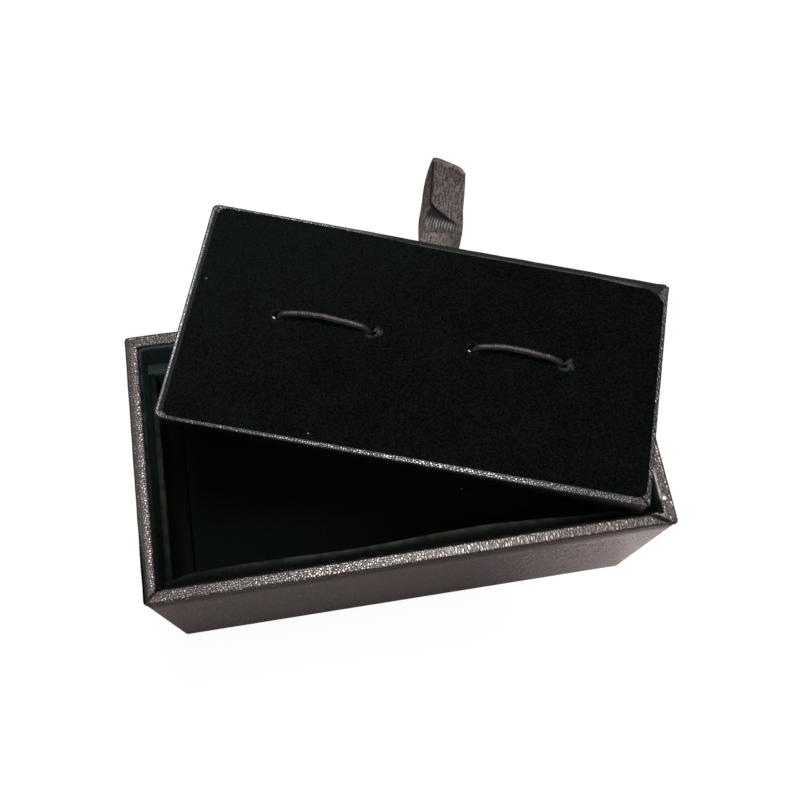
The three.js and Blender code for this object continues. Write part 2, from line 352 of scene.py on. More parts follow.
# Leatherette wrap of the base: one skin of embossed black leatherette, glued to the boards.
# It runs from under the floor up the outside, rolls over the rim and ends inside the mouth;
# at each corner the rolled rim is folded on the mitre, one side tucked under the other.
base_length, base_width, base_height = 85.0, 45.0, 38.0
wall_thickness = 2.0
skin_thickness = 0.25
skin_bottom = 0.3
rim_turn_in = 5.0
foot_turn_under = 8.0
pebbles_per_mm = 2.4
gap_to_pebble = (-0.02, 0.24)
leatherette_brown = (0.045, 0.028, 0.026, 1)
# Pale colour of a raised blob, and of a painted highlight along the right rim's inner edge.
pale_blob_and_highlight_colour = (0.88, 0.86, 0.74, 1)
black = (0, 0, 0, 1)


def along_axis(tree, where, axis):
    """One coordinate of a place: 0, 1 or 2 for X, Y or Z."""
    return tree.node("ShaderNodeSeparateXYZ", values={"Vector": where}, output=axis)


def painted(tree, name):
    """The number that a piece's vertices carry under a name."""
    return tree.node("ShaderNodeAttribute", {"attribute_name": name}, output=2)


def leatherette(name, gleam, tone, painted_shade_below=None, stretched_rim=False):
    """Black leatherette with a pebbled grain, drawn out across the front rim, where it is pulled tight.

    A mark on the vertices paints shade: under the rim's bead, in folds and on parts that lie away
    from the light it darkens the colour, roughens it and flattens its grain, and above 1 takes its
    sheen away too. "calm" flattens the grain. A second mark paints a raised blob pale and paints a
    highlight line along the right rim's inner edge.
    """
    material, tree = new_material(name)
    where = coordinates(tree)
    drift = tree.node(
        "ShaderNodeTexNoise", values={"Vector": where, "Scale": 1.6 / mm, "Detail": 1.0}, output=1,
    )
    drift = tree.node("ShaderNodeVectorMath", {"operation": "SCALE"}, {0: drift, "Scale": 0.3 * mm})
    warped = tree.node("ShaderNodeVectorMath", {"operation": "ADD"}, {0: where, 1: drift})
    pebbles = cells_at(tree, warped, pebbles_per_mm, "DISTANCE_TO_EDGE").ramp(*gap_to_pebble)
    if stretched_rim:
        squeezed = tree.node("ShaderNodeMapping", values={"Vector": warped, "Scale": (1.0, 0.3, 1)})
        drawn = cells_at(tree, squeezed, pebbles_per_mm, "DISTANCE_TO_EDGE").ramp(*gap_to_pebble)
        on_front_rim = along_axis(tree, where, 1).ramp(-20.3 * mm, -20.9 * mm)
        tight = on_front_rim * along_axis(tree, where, 0).ramp(-15 * mm, 15 * mm)
        pebbles = pebbles + (drawn - pebbles) * tight
    fine = noise_at(tree, where, 6.0, 3, 0.6)
    broad = noise_at(tree, where, 0.5, 3, 0.55)
    dull_painted_shade = painted(tree, "dull_painted_shade")
    calm = painted(tree, "calm")
    height = (pebbles + fine * 0.14 + broad * 0.3) * (1 - dull_painted_shade * 0.5) * (1 - calm)
    shade = (pebbles * 0.85 + 0.15) * (1 - dull_painted_shade * 0.9)
    # Below a height the colour is painted darker: painted shade on the insert's side.
    if painted_shade_below is not None:
        level = along_axis(tree, where, 2) + along_axis(tree, where, 0) * 0.017
        shade = shade * (level.ramp((painted_shade_below - 0.3) * mm, painted_shade_below * mm) * 0.8 + 0.2)
    colour = (shade * tone).mix(black, leatherette_brown)
    roughness = 0.44 - pebbles * 0.20 + (fine - 0.5) * 0.15 + dull_painted_shade * 0.35
    if stretched_rim:
        # A raised blob is painted pale, and a highlight is painted along the right rim's inner edge.
        colour = painted(tree, "pale_blob_and_painted_highlight").mix(colour, pale_blob_and_highlight_colour)
    # Above 1 the painted shade takes the sheen away as well.
    finish_material(
        tree, colour, roughness, height, 0.045, 1.0, Specular_Tint=gleam, Specular_IOR_Level=1.0,
        Metallic=dull_painted_shade.ramp(1.0, 2.0),
    )
    return material


def cut(form, point, across, **options):
    """Cuts a whole form along the plane through a point."""
    bmesh.ops.bisect_plane(
        form, geom=form.verts[:] + form.edges[:] + form.faces[:], dist=1e-5,
        plane_co=point, plane_no=across, **options,
    )


def slice_form(form, axis, positions):
    """Cuts a form across one axis at some positions, so that it has vertices there to move."""
    across = Vector((0, 0, 0))
    across[axis] = 1
    for position in positions:
        cut(form, across * position, across)


def spaced(low, high, spacing):
    """Positions between two ends, about so far apart, without the ends."""
    count = max(1, round((high - low) / spacing))
    return [low + (high - low) * i / count for i in range(1, count)]


def smooth_share(value, low, high):
    """0 up to low, 1 from high on, and smooth between them."""
    share = min(1, max(0, (value - low) / (high - low)))
    return share * share * (3 - 2 * share)


def move_verts(moves):
    for vert, move in moves.items():
        vert.co += move


def roughen(form, amount, wavelength, seed=0.0):
    """Moves each vertex a little along its normal, as a hand-glued covering lies."""
    form.normal_update()
    moves = {}
    for vert in form.verts:
        value = noise.noise(vert.co / wavelength + Vector((seed, seed * 0.7, seed * 1.3)))
        moves[vert] = vert.normal * amount * value
    move_verts(moves)


def thicken(piece, thickness, offset=-1):
    """Gives a sheet its thickness, in millimetres, inward from its face or about its middle."""
    shell = piece.modifiers.new("thickness", "SOLIDIFY")
    shell.thickness = thickness * mm
    shell.offset = offset


def delete_faces(form, test):
    bmesh.ops.delete(form, geom=faces_where(form, test), context="FACES")


mitre_steps = (-0.45, -0.2, -0.08, 0, 0.08, 0.2, 0.45)


def mitre_lines(form, corner, across, reach, top_above):
    """Cuts lines along the fold at one corner into the faces round it that lie above a height."""
    for offset in mitre_steps:
        faces = faces_where(
            form, lambda c, n: max(abs(c.x - corner.x), abs(c.y - corner.y)) < reach and c.z > top_above,
        )
        parts = set(faces)
        for face in faces:
            parts.update(face.verts)
            parts.update(face.edges)
        bmesh.ops.bisect_plane(
            form, geom=list(parts), dist=1e-5, plane_co=corner + across * offset, plane_no=across,
        )


outer_bead_radius, inner_bead_radius = 0.5, 0.3
wrap_corner_radius = 0.65
wrap_foot_radius = 0.3
rim_blob = Vector((41.2, -18.3, 38.0))
# Where a painted highlight line lies along the right rim's inner edge.
painted_edge_highlight_x, painted_edge_highlight_front, painted_edge_highlight_back = 40.62, -18.6, -12
lapped_fold = Vector((39.9, -21.5, 0))
lapped_across = Vector((0.534, 0.846, 0)).normalized()


def over_middle(c, n):
    """Whether a face's middle lies over the middle of its piece."""
    return abs(c.x) < 1 and abs(c.y) < 1


def build_base_wrap():
    form = block(
        (-base_length / 2, -base_width / 2, skin_bottom), (base_length / 2, base_width / 2, base_height),
    )
    top = faces_where(form, lambda c, n: n.z > 0.9)
    bmesh.ops.inset_region(form, faces=top, thickness=wall_thickness, use_even_offset=True)
    mouth = faces_where(form, lambda c, n: n.z > 0.9 and over_middle(c, n))
    sunk = bmesh.ops.extrude_face_region(form, geom=mouth)
    sunk_verts = [v for v in sunk["geom"] if isinstance(v, bmesh.types.BMVert)]
    bmesh.ops.translate(form, verts=sunk_verts, vec=(0, 0, -rim_turn_in))
    delete_faces(form, lambda c, n: over_middle(c, n) and c.z > 20)
    foot = faces_where(form, lambda c, n: n.z < -0.9)
    bmesh.ops.inset_region(form, faces=foot, thickness=foot_turn_under, use_even_offset=True)
    delete_faces(form, lambda c, n: n.z < -0.9 and over_middle(c, n))

    half_x, half_y = base_length / 2, base_width / 2
    upright = edges_where(
        form, lambda m, e: abs(m.x) > half_x - 0.01 and abs(m.y) > half_y - 0.01 and 5 < m.z < 35,
    )
    round_edges(form, upright, wrap_corner_radius, 4)
    outer_rim = edges_where(
        form, lambda m, e: m.z > base_height - 0.01 and (abs(m.x) > half_x - 0.9 or abs(m.y) > half_y - 0.9)
        and len(e.link_faces) == 2 and min(f.normal.z for f in e.link_faces) < 0.5,
    )
    round_edges(form, outer_rim, outer_bead_radius, 5)
    form.normal_update()
    inner_rim = edges_where(
        form, lambda m, e: m.z > base_height - 0.01 and len(e.link_faces) == 2
        and min(f.normal.z for f in e.link_faces) < 0.2
        and abs(m.x) < half_x - wall_thickness + 0.01 and abs(m.y) < half_y - wall_thickness + 0.01,
    )
    round_edges(form, inner_rim, inner_bead_radius, 4)
    foot_edge = edges_where(
        form, lambda m, e: m.z < skin_bottom + 0.01 and len(e.link_faces) == 2
        and (abs(m.x) > half_x - 0.99 or abs(m.y) > half_y - 0.99)
        and max(abs(f.normal.z) for f in e.link_faces) > 0.9
        and min(abs(f.normal.z) for f in e.link_faces) < 0.1,
    )
    round_edges(form, foot_edge, wrap_foot_radius, 3)

    slice_form(form, 0, spaced(-half_x + 2.2, half_x - 2.2, 0.75))
    slice_form(form, 1, spaced(-half_y + 2.2, half_y - 2.2, 0.75))
    slice_form(form, 2, [37.4, 37.2, 37.0, 36.8, 36.5, 36.2, 35.8] + spaced(2, 35, 1.6))
    for axis, half in enumerate((half_x, half_y)):
        for position in (half - 1.4, half - 1.0, half - 0.6):
            slice_form(form, axis, [position, -position])
    blob_steps = (-0.4, -0.25, -0.1, 0.1, 0.25, 0.4)
    slice_form(form, 0, [rim_blob.x + step for step in blob_steps])
    slice_form(form, 1, [rim_blob.y + step for step in blob_steps])
    for side_x in (-1, 1):
        for side_y in (-1, 1):
            middle = Vector((side_x * (half_x - 1), side_y * (half_y - 1), 0))
            across = Vector((side_x, -side_y, 0)).normalized()
            if side_x > 0 > side_y:
                middle, across = lapped_fold, lapped_across
            mitre_lines(form, middle, across, 2.4, 36.5)
    return form


def shape_base_rim(form):
    """Rolls the rim's bead over the walls, folds its corners and puckers the front right one.

    The left rim is drawn tighter: it slopes outward and is coarser on its outer half, and its middle
    and outer half are painted darker and rougher, more toward the front: painted shade. Shade is also
    painted in a band under the bead and in the front right fold, a raised blob is painted pale, and a
    highlight is painted along the right rim's inner edge.
    """
    half_x, half_y = base_length / 2, base_width / 2
    dull_painted_shade = form.verts.layers.float.new("dull_painted_shade")
    pale_blob_and_painted_highlight = form.verts.layers.float.new("pale_blob_and_painted_highlight")
    calm = form.verts.layers.float.new("calm")
    form.normal_update()
    moves = {}
    for vert in form.verts:
        x, y, z = vert.co
        move = Vector((0, 0, 0))
        outward = max(abs(x) - half_x, abs(y) - half_y)
        if outward > -0.3 and z > 20:
            bead = smooth_share(z, 37.0, 37.4)
            move += vert.normal * (0.10 * bead - 0.09 * smooth_share(z, 35.9, 36.8) * (1 - bead))
            # Painted shade: a darker, rougher band under the rim's bead.
            vert[dull_painted_shade] = smooth_share(z, 35.2, 36.2) * (1 - smooth_share(z, 37.5, 37.75))
        if z > 36.5:
            along_x = abs(x) - (half_x - wall_thickness)
            along_y = abs(y) - (half_y - wall_thickness)
            if along_x > -3 and along_y > -3:
                across = (along_x - along_y) / math.sqrt(2)
                away = math.hypot(max(0, -along_x), max(0, -along_y))
                fade = math.exp(-(away / 1.2) ** 2)
                fade *= 1 - smooth_share(max(along_x, along_y), 1.3, 1.9)
                depth, fold_width = 0.2 if x < 0 < y else 1, 0.11
                if x > 0 > y:
                    depth, fold_width = 2.4, 0.17
                    arm = Vector((x, y, 0)) - lapped_fold
                    across = arm.dot(lapped_across)
                    fade = math.exp(-(arm.length / 2.2) ** 4)
                    # Painted shade in the crease of the lapped fold.
                    vert[dull_painted_shade] = max(vert[dull_painted_shade], fade * math.exp(-(across / 0.25) ** 2))
                groove = -0.2 * math.exp(-(across / fold_width) ** 2)
                lap = 0.13 * smooth_share(across, 0.0, 0.12) * math.exp(-max(0, across) / 1.1)
                move += vert.normal * (groove + lap) * fade * depth
            inward = min(1, max(-1, -outward / (wall_thickness / 2) - 1))
            if x < 0 and half_x + x < half_y - abs(y):
                move.z += 0.17 * (1 - max(0, inward)) + 0.12 * min(0, inward)
                # The left rim's middle and outer half are painted darker and rougher, more toward the front:
                # painted shade.
                to_front = smooth_share(-y, 8, 18)
                outer_half = 0.8 * smooth_share(-inward, 0.05, 0.4) + 0.4 * smooth_share(-inward, 0.5, 0.95)
                middle = (0.4 + 0.4 * to_front) * (1 - smooth_share(inward, 0.0, 0.6))
                vert[dull_painted_shade] = max(vert[dull_painted_shade], middle, outer_half * (1 + 0.75 * to_front))
                vert[calm] = -0.9 * smooth_share(-inward, 0.05, 0.4)
            else:
                move.z += 0.03 * (1 - inward ** 2)
            blob = (Vector((x, y, 0)) - Vector((rim_blob.x, rim_blob.y, 0))).length
            move.z += 0.35 * math.exp(-(blob / 0.3) ** 2)
            # A painted highlight along the right rim's inner edge; the raised blob is painted pale.
            painted_edge_highlight = math.exp(-((x - painted_edge_highlight_x) / 0.13) ** 2)
            painted_edge_highlight *= smooth_share(y, painted_edge_highlight_front, painted_edge_highlight_front + 0.5)
            painted_edge_highlight *= smooth_share(-y, -painted_edge_highlight_back, -painted_edge_highlight_back + 2)
            vert[pale_blob_and_painted_highlight] = max(math.exp(-(blob / 0.34) ** 4), 0.34 * painted_edge_highlight)
        place = Vector((x, y, z))
        wave = noise.noise(place / 3.1) * 0.035 + noise.noise(place / 1.3) * 0.006
        rolled = smooth_share(z, 36, 37.2)
        move += vert.normal * wave * (0.35 + rolled)
        corner_x, corner_y = x - (half_x - 1.6), y + (half_y - 1.6)
        distance = math.hypot(corner_x, corner_y)
        if z > 35 and distance < 5:
            angle = math.atan2(corner_y, corner_x)
            pucker = math.sin(angle * 7 + 1.1) * 0.10 + noise.noise(place * 1.4) * 0.12
            move += vert.normal * pucker * math.exp(-(distance / 2.0) ** 2)
        moves[vert] = move
    move_verts(moves)


form = build_base_wrap()
shape_base_rim(form)
warm_gleam = (1.0, 0.93, 0.88, 1)
wrap_look = leatherette("leatherette_base", warm_gleam, tone=0.8, stretched_rim=True)
base_wrap = add_piece(
    "base_leatherette_wrap", form, "base", wrap_look, ["base_leatherette_skin"],
)
thicken(base_wrap, skin_thickness)


# Wall lining: a band of black flocked lining round the mouth, from just below the rim down
# behind the ledge. It is glued over the turned-in leatherette and has a blue-green cast. Its top
# edge is painted dark, painted shade under the rim's bead, and the lining is painted darker toward
# the front, painted shade.
lint_colour = (0.16, 0.17, 0.15, 1)
hole_painted_shade = (0.0006, 0.0007, 0.0007, 1)
ruffled_grey = (0.045, 0.042, 0.038, 1)
white_speck_colour = (0.8, 0.82, 0.8, 1)


def painted_channels(tree, name):
    """The three numbers that a piece's vertices carry as one colour."""
    marks = tree.node("ShaderNodeAttribute", {"attribute_name": name}, output=0)
    parted = tree.node("ShaderNodeSeparateColor", values={"Color": marks})
    return [Shade(tree.tree, channel) for channel in parted.socket.node.outputs]


def velvet(name, dark, light, wear_and_painted_light_colour=None, marked=False, painted_shade_sweep=None):
    """Black velvet: a short soft pile in patches that lean different ways, with a little lint.

    The fold colour is its colour where the vertices' "fold" says: worn nap along the ledges' folds,
    with a painted sheen on those lit edges, and painted shade under the rim's bead on the lining.
    "marked" reads the insert's painted shade in its holes, its ruffles and its white specks, and
    paints a sheen lighter toward the back left. The sweep is an axis, the heights in mm from which
    and by which the velvet is painted darker, painted shade, and how dark.
    """
    material, tree = new_material(name)
    where = coordinates(tree)
    pile = noise_at(tree, where, 9.0, 2, 0.6)
    patches = noise_at(tree, where, 0.16, 4, 0.6)
    grain = noise_at(tree, where, 2.8, 2, 0.7)
    shade = patches * 0.15 + pile * 0.2 + grain * 0.65
    # A painted sheen: lighter toward the back left.
    if marked:
        to_back_left = along_axis(tree, where, 1) - along_axis(tree, where, 0) * 0.35
        shade = shade + to_back_left.ramp(5 * mm, 45 * mm) * 0.1
    colour = shade.ramp(0.38, 0.68).mix(dark, light)
    # Painted shade: darker along an axis.
    if painted_shade_sweep is not None:
        axis, light_end, dark_end, amount = painted_shade_sweep
        turned = along_axis(tree, where, axis).ramp(light_end * mm, dark_end * mm)
        colour = (turned * amount).mix(colour, black)
    lint_near = cells_at(tree, where, 0.16, "F1")
    lint_pick = noise_at(tree, where, 0.09, 0)
    lint = lint_near.ramp(0.034, 0.018) * lint_pick.ramp(0.44, 0.5)
    colour = lint.mix(colour, lint_colour)
    if marked:
        hole_shade, ruffled, white_speck = painted_channels(tree, "marks")
        # Painted shade in the holes.
        colour = hole_shade.mix(colour, hole_painted_shade)
        colour = (ruffled * (grain.ramp(0.35, 0.6) * 0.8 + 0.2)).mix(colour, ruffled_grey)
        colour = white_speck.ramp(0.3, 0.8).mix(colour, white_speck_colour)
    # Where the vertices' fold mark says: worn nap with a painted sheen on the ledges, painted shade under
    # the bead on the lining.
    if wear_and_painted_light_colour is not None:
        streaks = noise_at(tree, where, 0.5, 4, 0.6).ramp(0.3, 0.65) * 0.7 + 0.3
        colour = (painted(tree, "fold") * streaks).mix(colour, wear_and_painted_light_colour)
    finish_material(tree, colour, 1.0, pile, 0.12, 0.9, Specular_IOR_Level=0.03)
    return material


lined_wall = 2.3
lining_thickness = 0.3
lining_low, lining_high = 28.3, 37.5
lining_corner_radius = 0.5
lining_shaded_to = 19.5


def build_wall_lining():
    half_x, half_y = base_length / 2 - lined_wall, base_width / 2 - lined_wall
    form = block((-half_x, -half_y, lining_low), (half_x, half_y, lining_high))
    delete_faces(form, lambda c, n: abs(n.z) > 0.9)
    round_edges(form, edges_where(form, lambda m, e: abs(edge_span(e).z) > 5), lining_corner_radius, 4)
    slice_form(form, 0, spaced(-half_x + 1, half_x - 1, 1.0))
    slice_form(form, 1, spaced(-half_y + 1, half_y - 1, 1.0))
    slice_form(form, 2, spaced(lining_low, lining_high, 1.0))
    bmesh.ops.reverse_faces(form, faces=form.faces[:])
    fold = form.verts.layers.float.new("fold")
    for vert in form.verts:
        # Painted shade under the rim's bead, on all walls but the back one.
        under_bead = smooth_share(vert.co.z, lining_high - 1.0, lining_high)
        vert[fold] = under_bead * smooth_share(lining_shaded_to - vert.co.y, 0, 0.5)
    roughen(form, 0.07, 4.0, 3.0)
    return form


# Its dark fold colour is painted shade under the rim's bead, and its sweep paints it darker toward the
# front, painted shade.
lining_look = velvet(
    "flocked_lining", dark=(0.018, 0.031, 0.030, 1), light=(0.040, 0.061, 0.059, 1),
    wear_and_painted_light_colour=(0.002, 0.003, 0.003, 1), painted_shade_sweep=(1, 20, -14, 0.7),
)
lining = add_piece("wall_lining", build_wall_lining(), "base", lining_look, ["upper_wall_lining"])
thicken(lining, lining_thickness)


# Ledge covers: velvet drawn over each liner card, down its face and in a short flap behind.
# Their tops make the ledge that carries the insert. Along that fold the nap of all but the back
# cover is painted lighter, for its wear and as a painted sheen on the edge, and these covers are
# painted darker toward the top, painted shade.
# The front card bows inward, and its velvet lies loose, so that its edge swells in two places.
ledge_height = 31.3
floor_board_top = 2.05
velvet_flap = 4.0
velvet_thickness = 0.33
ledge_edge_radius = 0.5
front_bow = 0.7
swell_wavelength, swell_start = 44, -31
long_half, long_face = 40.2, 4.5
short_half, short_face = 18.1, 3.5


def build_ledge_cover(half_length, face, bow, wear_and_sheen, softness, seed):
    """One cover, made for the front wall: along X, with its back at the wall lining."""
    half_y = base_width / 2
    form = block(
        (-half_length, -half_y + lined_wall, floor_board_top), (half_length, -half_y + face, ledge_height),
    )
    delete_faces(form, lambda c, n: n.z < -0.9)
    slice_form(form, 2, [ledge_height - velvet_flap])
    delete_faces(form, lambda c, n: n.y < -0.9 and c.z < ledge_height - velvet_flap)
    top_edges = edges_where(form, lambda m, e: m.z > ledge_height - 0.01 and abs(edge_span(e).x) > 5)
    round_edges(form, top_edges, ledge_edge_radius, 4)
    slice_form(form, 0, spaced(-half_length, half_length, 1.0))
    slice_form(form, 1, [-half_y + face - reach for reach in (0.7, 0.95, 1.2)])
    slice_form(form, 2, [30.6, 30.3, 30.0, 29.6] + spaced(4, 29, 2.0))
    fold = form.verts.layers.float.new("fold")
    for vert in form.verts:
        inward = max(0, -half_y + face - 0.25 - vert.co.y)
        below = max(0, ledge_height - 0.25 - vert.co.z)
        near_end = smooth_share(half_length - abs(vert.co.x), 0, half_length * 0.6)
        # The fold along the top is painted lighter: worn nap, and a painted sheen on its lit edge.
        worn_and_sheen = math.exp(-(inward / (0.42 * softness)) ** 2 - (below / (0.6 * softness)) ** 2)
        vert[fold] = worn_and_sheen * (0.2 + 0.8 * near_end) * wear_and_sheen
    for vert in form.verts:
        swell = 0.4 + 0.3 * math.cos((vert.co.x - swell_start) * math.tau / swell_wavelength)
        swell *= smooth_share(half_length - abs(vert.co.x), 0, 4)
        swell *= smooth_share(vert.co.y + half_y - face, -1.6, -0.4)
        vert.co.y += bow * (math.cos(vert.co.x / half_length * math.pi / 2) + swell / front_bow)
    roughen(form, 0.09, 5.0, seed)
    roughen(form, 0.05, 1.4, seed + 5)
    return form


# Lighter along the fold for wear and a painted sheen; the sweep paints it darker toward the top, painted
# shade.
ledge_look = velvet(
    "ledge_velvet", dark=(0.014, 0.0195, 0.0165, 1), light=(0.026, 0.036, 0.031, 1),
    wear_and_painted_light_colour=(0.050, 0.052, 0.043, 1), painted_shade_sweep=(2, 8, 31, 0.88),
)
back_ledge_look = velvet("back_ledge_velvet", dark=(0.016, 0.025, 0.025, 1), light=(0.030, 0.043, 0.043, 1))
# For each wall: half the cover's length, how far its face stands in, its bow, how much and how
# broadly its fold is painted lighter, for wear and as a painted sheen, and the turn and shift that
# bring it to its wall.
covers = {
    "front": (long_half, long_face, front_bow, 0.55, 1.1, 0, 0),
    "back": (long_half, long_face, 0, 0.5, 1, 180, 0),
    "left": (short_half, short_face, 0, 0.32, 1.5, -90, (base_length - base_width) / 2),
    "right": (short_half, short_face, 0, 0.4, 1, 90, (base_length - base_width) / 2),
}
for number, (wall, (half_length, face, bow, wear_and_sheen, softness, turn, shift)) in enumerate(covers.items()):
    form = build_ledge_cover(half_length, face, bow, wear_and_sheen, softness, 11.0 + number)
    place = Matrix.Rotation(math.radians(turn), 4, "Z") @ Matrix.Translation((0, -shift, 0))
    look = back_ledge_look if wall == "back" else ledge_look
    cover = add_piece(f"ledge_velvet_{wall}", form, "base", look, [f"liner_velvet_{wall}"], place)
    thicken(cover, velvet_thickness)


# Floor pad: velvet over a card, dropped between the ledge covers and pressed against their feet.
# It is black down there and painted darker toward the left, painted shade, with a few bits of lint
# on it.
pad_spread = 0.7
pad_edge_radius = 0.12


def build_floor_velvet():
    low, high = (Vector(corner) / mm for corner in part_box("floor_velvet"))
    spread = Vector((pad_spread, pad_spread, 0))
    form = block(low - spread, high + spread)
    delete_faces(form, lambda c, n: n.z < -0.9)
    top_edges = edges_where(form, lambda m, e: m.z > high.z - 0.01)
    round_edges(form, top_edges, pad_edge_radius, 2)
    slice_form(form, 0, spaced(low.x + 1, high.x - 1, 1.3))
    slice_form(form, 1, spaced(low.y + 1, high.y - 1, 1.3))
    roughen(form, 0.1, 6.0, 21.0)
    return form


# The sweep paints it darker toward the left: painted shade.
floor_look = velvet(
    "floor_velvet_pile", dark=(0.0030, 0.0048, 0.0040, 1), light=(0.0046, 0.0071, 0.0060, 1),
    painted_shade_sweep=(0, -8, -36, 0.25),
)
floor_pad = add_piece(
    "floor_velvet_pad", build_floor_velvet(), "base", floor_look, ["floor_velvet"],
)
thicken(floor_pad, velvet_thickness)


# Insert wrap: the same leatherette round the edge of the two boards, turned in over and
# under them, mitred at the corners and slit at the back for the ribbon. The velvet face
# leaves a narrow border of it in sight.
insert_place = Matrix.Translation((6.05, 11.75, 38.3)) @ Matrix.Rotation(math.radians(-19.4), 4, "Z")
insert_length, insert_width = 79.8, 39.8
insert_skin_low, insert_skin_high = 0.4, 3.9
insert_turn_in = 5.0
insert_corner_radius, insert_front_left_radius = 0.85, 1.3
insert_top_radius, insert_foot_radius = 0.26, 0.5
slit_half, slit_low, slit_high = 3.8, 1.45, 2.15


def build_insert_wrap():
    half_x, half_y = insert_length / 2, insert_width / 2
    form = block((-half_x, -half_y, insert_skin_low), (half_x, half_y, insert_skin_high))
    for side in (1, -1):
        flat = faces_where(form, lambda c, n: n.z * side > 0.9)
        bmesh.ops.inset_region(form, faces=flat, thickness=insert_turn_in, use_even_offset=True)
        delete_faces(form, lambda c, n: n.z * side > 0.9 and over_middle(c, n))
    upright = edges_where(
        form, lambda m, e: abs(m.x) > half_x - 0.01 and abs(m.y) > half_y - 0.01 and 1 < m.z < 3,
    )
    front_left = [e for e in upright if e.verts[0].co.x < 0 and e.verts[0].co.y < 0]
    others = [e for e in upright if e not in front_left]
    round_edges(form, others, insert_corner_radius, 5)
    front_left = edges_where(
        form, lambda m, e: m.x < -half_x + 0.01 and m.y < -half_y + 0.01 and 1 < m.z < 3,
    )
    round_edges(form, front_left, insert_front_left_radius, 6)
    rims = ((insert_skin_high, insert_top_radius, 4), (insert_skin_low, insert_foot_radius, 3))
    for height, radius, segments in rims:
        rim = edges_where(
            form, lambda m, e: abs(m.z - height) < 0.01 and len(e.link_faces) == 2
            and min(abs(f.normal.z) for f in e.link_faces) < 0.2,
        )
        round_edges(form, rim, radius, segments)
    slice_form(form, 0, spaced(-half_x + 1.6, half_x - 1.2, 0.8) + [-slit_half, slit_half])
    slice_form(form, 0, [-half_x + reach for reach in (0.3, 0.45, 0.6, 0.75, 0.85, 1.1, 1.35, 1.6)])
    slice_form(form, 1, spaced(-half_y + 1.2, half_y - 1.2, 0.8) + [half_y - 0.8, half_y - 0.5])
    slice_form(form, 2, [slit_low, slit_high, 2.7])
    delete_faces(
        form, lambda c, n: c.y > half_y - 0.1 and abs(c.x) < slit_half and slit_low < c.z < slit_high,
    )
    for side_x in (-1, 1):
        for side_y in (-1, 1):
            middle = Vector((side_x * (half_x - 1), side_y * (half_y - 1), 0))
            across = Vector((side_x, -side_y, 0)).normalized()
            mitre_lines(form, middle, across, 3.0, 2.8)
    return form


def shape_insert_wrap(form):
    """Creases the mitres and tilts the borders as they lie in the light, and paints shade, darker and
    rougher, on the left border's inner band, the back border's right part and the back right corner.
    """
    half_x, half_y = insert_length / 2, insert_width / 2
    dull_painted_shade = form.verts.layers.float.new("dull_painted_shade")
    calm = form.verts.layers.float.new("calm")
    form.normal_update()
    moves = {}
    for vert in form.verts:
        x, y, z = vert.co
        vert[calm] = 0.6 * smooth_share(-x, half_x - 2.0, half_x - 1.2)
        place = Vector((x, y, z))
        move = vert.normal * (noise.noise(place / 2.6) * 0.04 + noise.noise(place / 1.1) * 0.02)
        if z > 2.8:
            along_x = abs(x) - (half_x - 2)
            along_y = abs(y) - (half_y - 2)
            if along_x > -2 and along_y > -2:
                across = (along_x - along_y) / math.sqrt(2)
                deep = 0.2 if x > 0 else 0.04
                groove = -deep * math.exp(-(across / 0.11) ** 2)
                lap = deep * 0.7 * smooth_share(across, 0.0, 0.12) * math.exp(-max(0, across) / 0.9)
                move += vert.normal * (groove + lap)
            if x < -half_x + 1.6 and abs(y) < half_y - 1:
                outer = -x - (half_x - 1.3)
                fall = 0.11 * smooth_share(outer, -0.3, 0.6)
                move.z += 0.05 - fall + 0.18 * min(0.5, max(0, outer - 0.55))
                # Painted shade on the left border's inner band, and toward its front.
                vert[dull_painted_shade] = max(1.5 * (1 - smooth_share(outer, 0.7, 0.85)), 0.5 * smooth_share(-y, 8, 15))
            if y > half_y - 1.6 and abs(x) < half_x - 1:
                tilt = -0.15 + 0.23 * smooth_share(-x, -4, 14)
                move.z += tilt * (y - half_y + 1.3) + 0.02
                move.z -= 0.05 * smooth_share(y, half_y - 0.5, half_y - 0.1) * smooth_share(x, -22, -6)
                # Painted shade on the back border's right part.
                vert[dull_painted_shade] = 1.5 * smooth_share(x, -22, -6)
            # Painted shade on the back right corner.
            if x > 30 and y > 12:
                corner = smooth_share(x, 32, 36) * smooth_share(y, 13, 16)
                vert[dull_painted_shade] = max(vert[dull_painted_shade], 1.4 * corner) * (1 - smooth_share(x, 39.0, 39.4))
        moves[vert] = move
    move_verts(moves)


form = build_insert_wrap()
shape_insert_wrap(form)
# The insert's copy of the same leatherette is painted darker than the base's, tone 0.35 against 0.8, as
# painted shade, and its highlights are tinted cool against the base's warm ones. Below shaded_below its side
# is painted darker still: painted shade.
cool_gleam = (0.97, 0.98, 1.0, 1)
shaded_below = 41.45
insert_wrap_look = leatherette("leatherette_insert", cool_gleam, tone=0.35, painted_shade_below=shaded_below)
insert_wrap = add_piece(
    "insert_leatherette_wrap", form, "insert", insert_wrap_look,
    ["insert_leatherette_skin"], insert_place,
)
thicken(insert_wrap, skin_thickness)


# Velvet face: a die-cut sheet of velvet glued on the insert, just inside the leatherette edge.
# The elastic loops dip through four punched holes, where the pile is pulled down and ruffled.
face_top = 4.3
face_thickness = 0.36
face_low_x, face_high_x = -38.6, 39.1
face_low_y, face_high_y = -19.1, 18.8
holes = (Vector((-24.4, 1.0)), Vector((-8.5, 1.25)), Vector((8.4, 1.35)), Vector((23.7, 1.6)))
# Each corner of the sheet: its sides along X and Y, its radius and the slants of its cuts.
face_corners = (
    (-1, -1, 1.4, (15, 45, 75)),
    (1, -1, 1.6, (15, 45, 75)),
    (-1, 1, 1.5, (15, 45, 75)),
    (1, 1, 3.6, (30, 60)),
)
hole_spacing = 0.15


